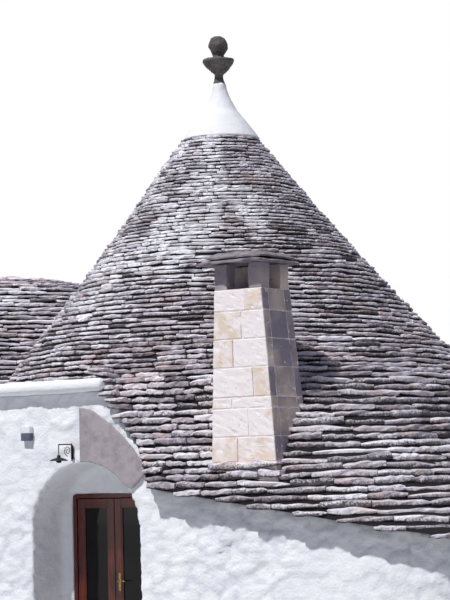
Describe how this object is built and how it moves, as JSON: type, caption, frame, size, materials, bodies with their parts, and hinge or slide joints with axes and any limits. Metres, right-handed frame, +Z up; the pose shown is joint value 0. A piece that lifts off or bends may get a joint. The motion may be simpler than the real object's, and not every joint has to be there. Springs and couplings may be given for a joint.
{
  "type": "trullo house",
  "caption": "Whitewashed trullo house with a tall stone-slab cone, a plaster cap and ball finial, a lower blunt cone, a tapered chimney and an arched doorway with glazed leaves.",
  "frame": {"origin": "on the ground under the axis of the tall cone", "axes": "+X to the right along the front, +Y from the front to the back, +Z up"},
  "size_m": [12.02, 6.743, 8.049],
  "materials": {
    "roof_slabs": "rough split limestone, weathered",
    "limewash": "matt limewash over rubble",
    "floor_stone": "worn limestone",
    "cap_plaster": "smooth matt plaster",
    "finial_stone": "weathered stone",
    "chimney_stone": "sawn limestone blocks",
    "chimney_slabs": "split limestone",
    "door_timber": "varnished, satin",
    "door_glass": "clear",
    "handle_brass": "satin",
    "curtain_cloth": "plain weave",
    "plaque_stone": "honed",
    "lamp_iron": "matt black",
    "white_box": "matt"
  },
  "bodies": {
    "house": {"wall_front_left": "limewash", "wall_over_door": "limewash", "door_pier_right": "limewash", "door_wall_left": "limewash", "door_wall_right": "limewash", "door_wall_top": "limewash", "wall_front_right": "limewash", "wall_corner_front": "limewash", "wall_end_right": "limewash", "wall_corner_back": "limewash", "wall_back_right": "limewash", "wall_back_left": "limewash", "wall_end_left": "limewash", "floor": "floor_stone", "threshold": "floor_stone", "cornice_front": "limewash", "cornice_left": "limewash", "cornice_back": "limewash", "skirt_front": "roof_slabs", "skirt_right_front": "roof_slabs", "skirt_right_back": "roof_slabs", "skirt_back": "roof_slabs", "skirt_left": "roof_slabs", "cone_lower": "roof_slabs", "cone_upper": "roof_slabs", "plaster_cap": "cap_plaster", "finial_stem": "finial_stone", "finial_dish": "finial_stone", "finial_ball": "finial_stone", "wing_cone": "roof_slabs", "chimney_base": "chimney_stone", "chimney_shaft": "chimney_stone", "chimney_posts": "chimney_stone", "chimney_slab_lower": "chimney_slabs", "chimney_slab_upper": "chimney_slabs", "door_frame": "door_timber", "door_hinges": "handle_brass", "plaque": "plaque_stone", "lamp_bracket": "lamp_iron", "wall_lamp": "lamp_iron", "wall_box": "white_box"},
    "door_leaf_left": {"leaf_left": "door_timber", "glass_left": "door_glass", "curtain": "curtain_cloth"},
    "door_leaf_right": {"leaf_right": "door_timber", "glass_right": "door_glass", "door_handle": "handle_brass"}
  },
  "joints": [
    {"name": "left_leaf_swing", "type": "hinge", "parent": "house", "child": "door_leaf_left", "pos_m": [-0.502, -2.422, 0.1], "axis": [0, 0, 1], "range_deg": [0, 95]},
    {"name": "right_leaf_swing", "type": "hinge", "parent": "house", "child": "door_leaf_right", "pos_m": [0.622, -2.422, 0.1], "axis": [0, 0, -1], "range_deg": [0, 95]}
  ]
}
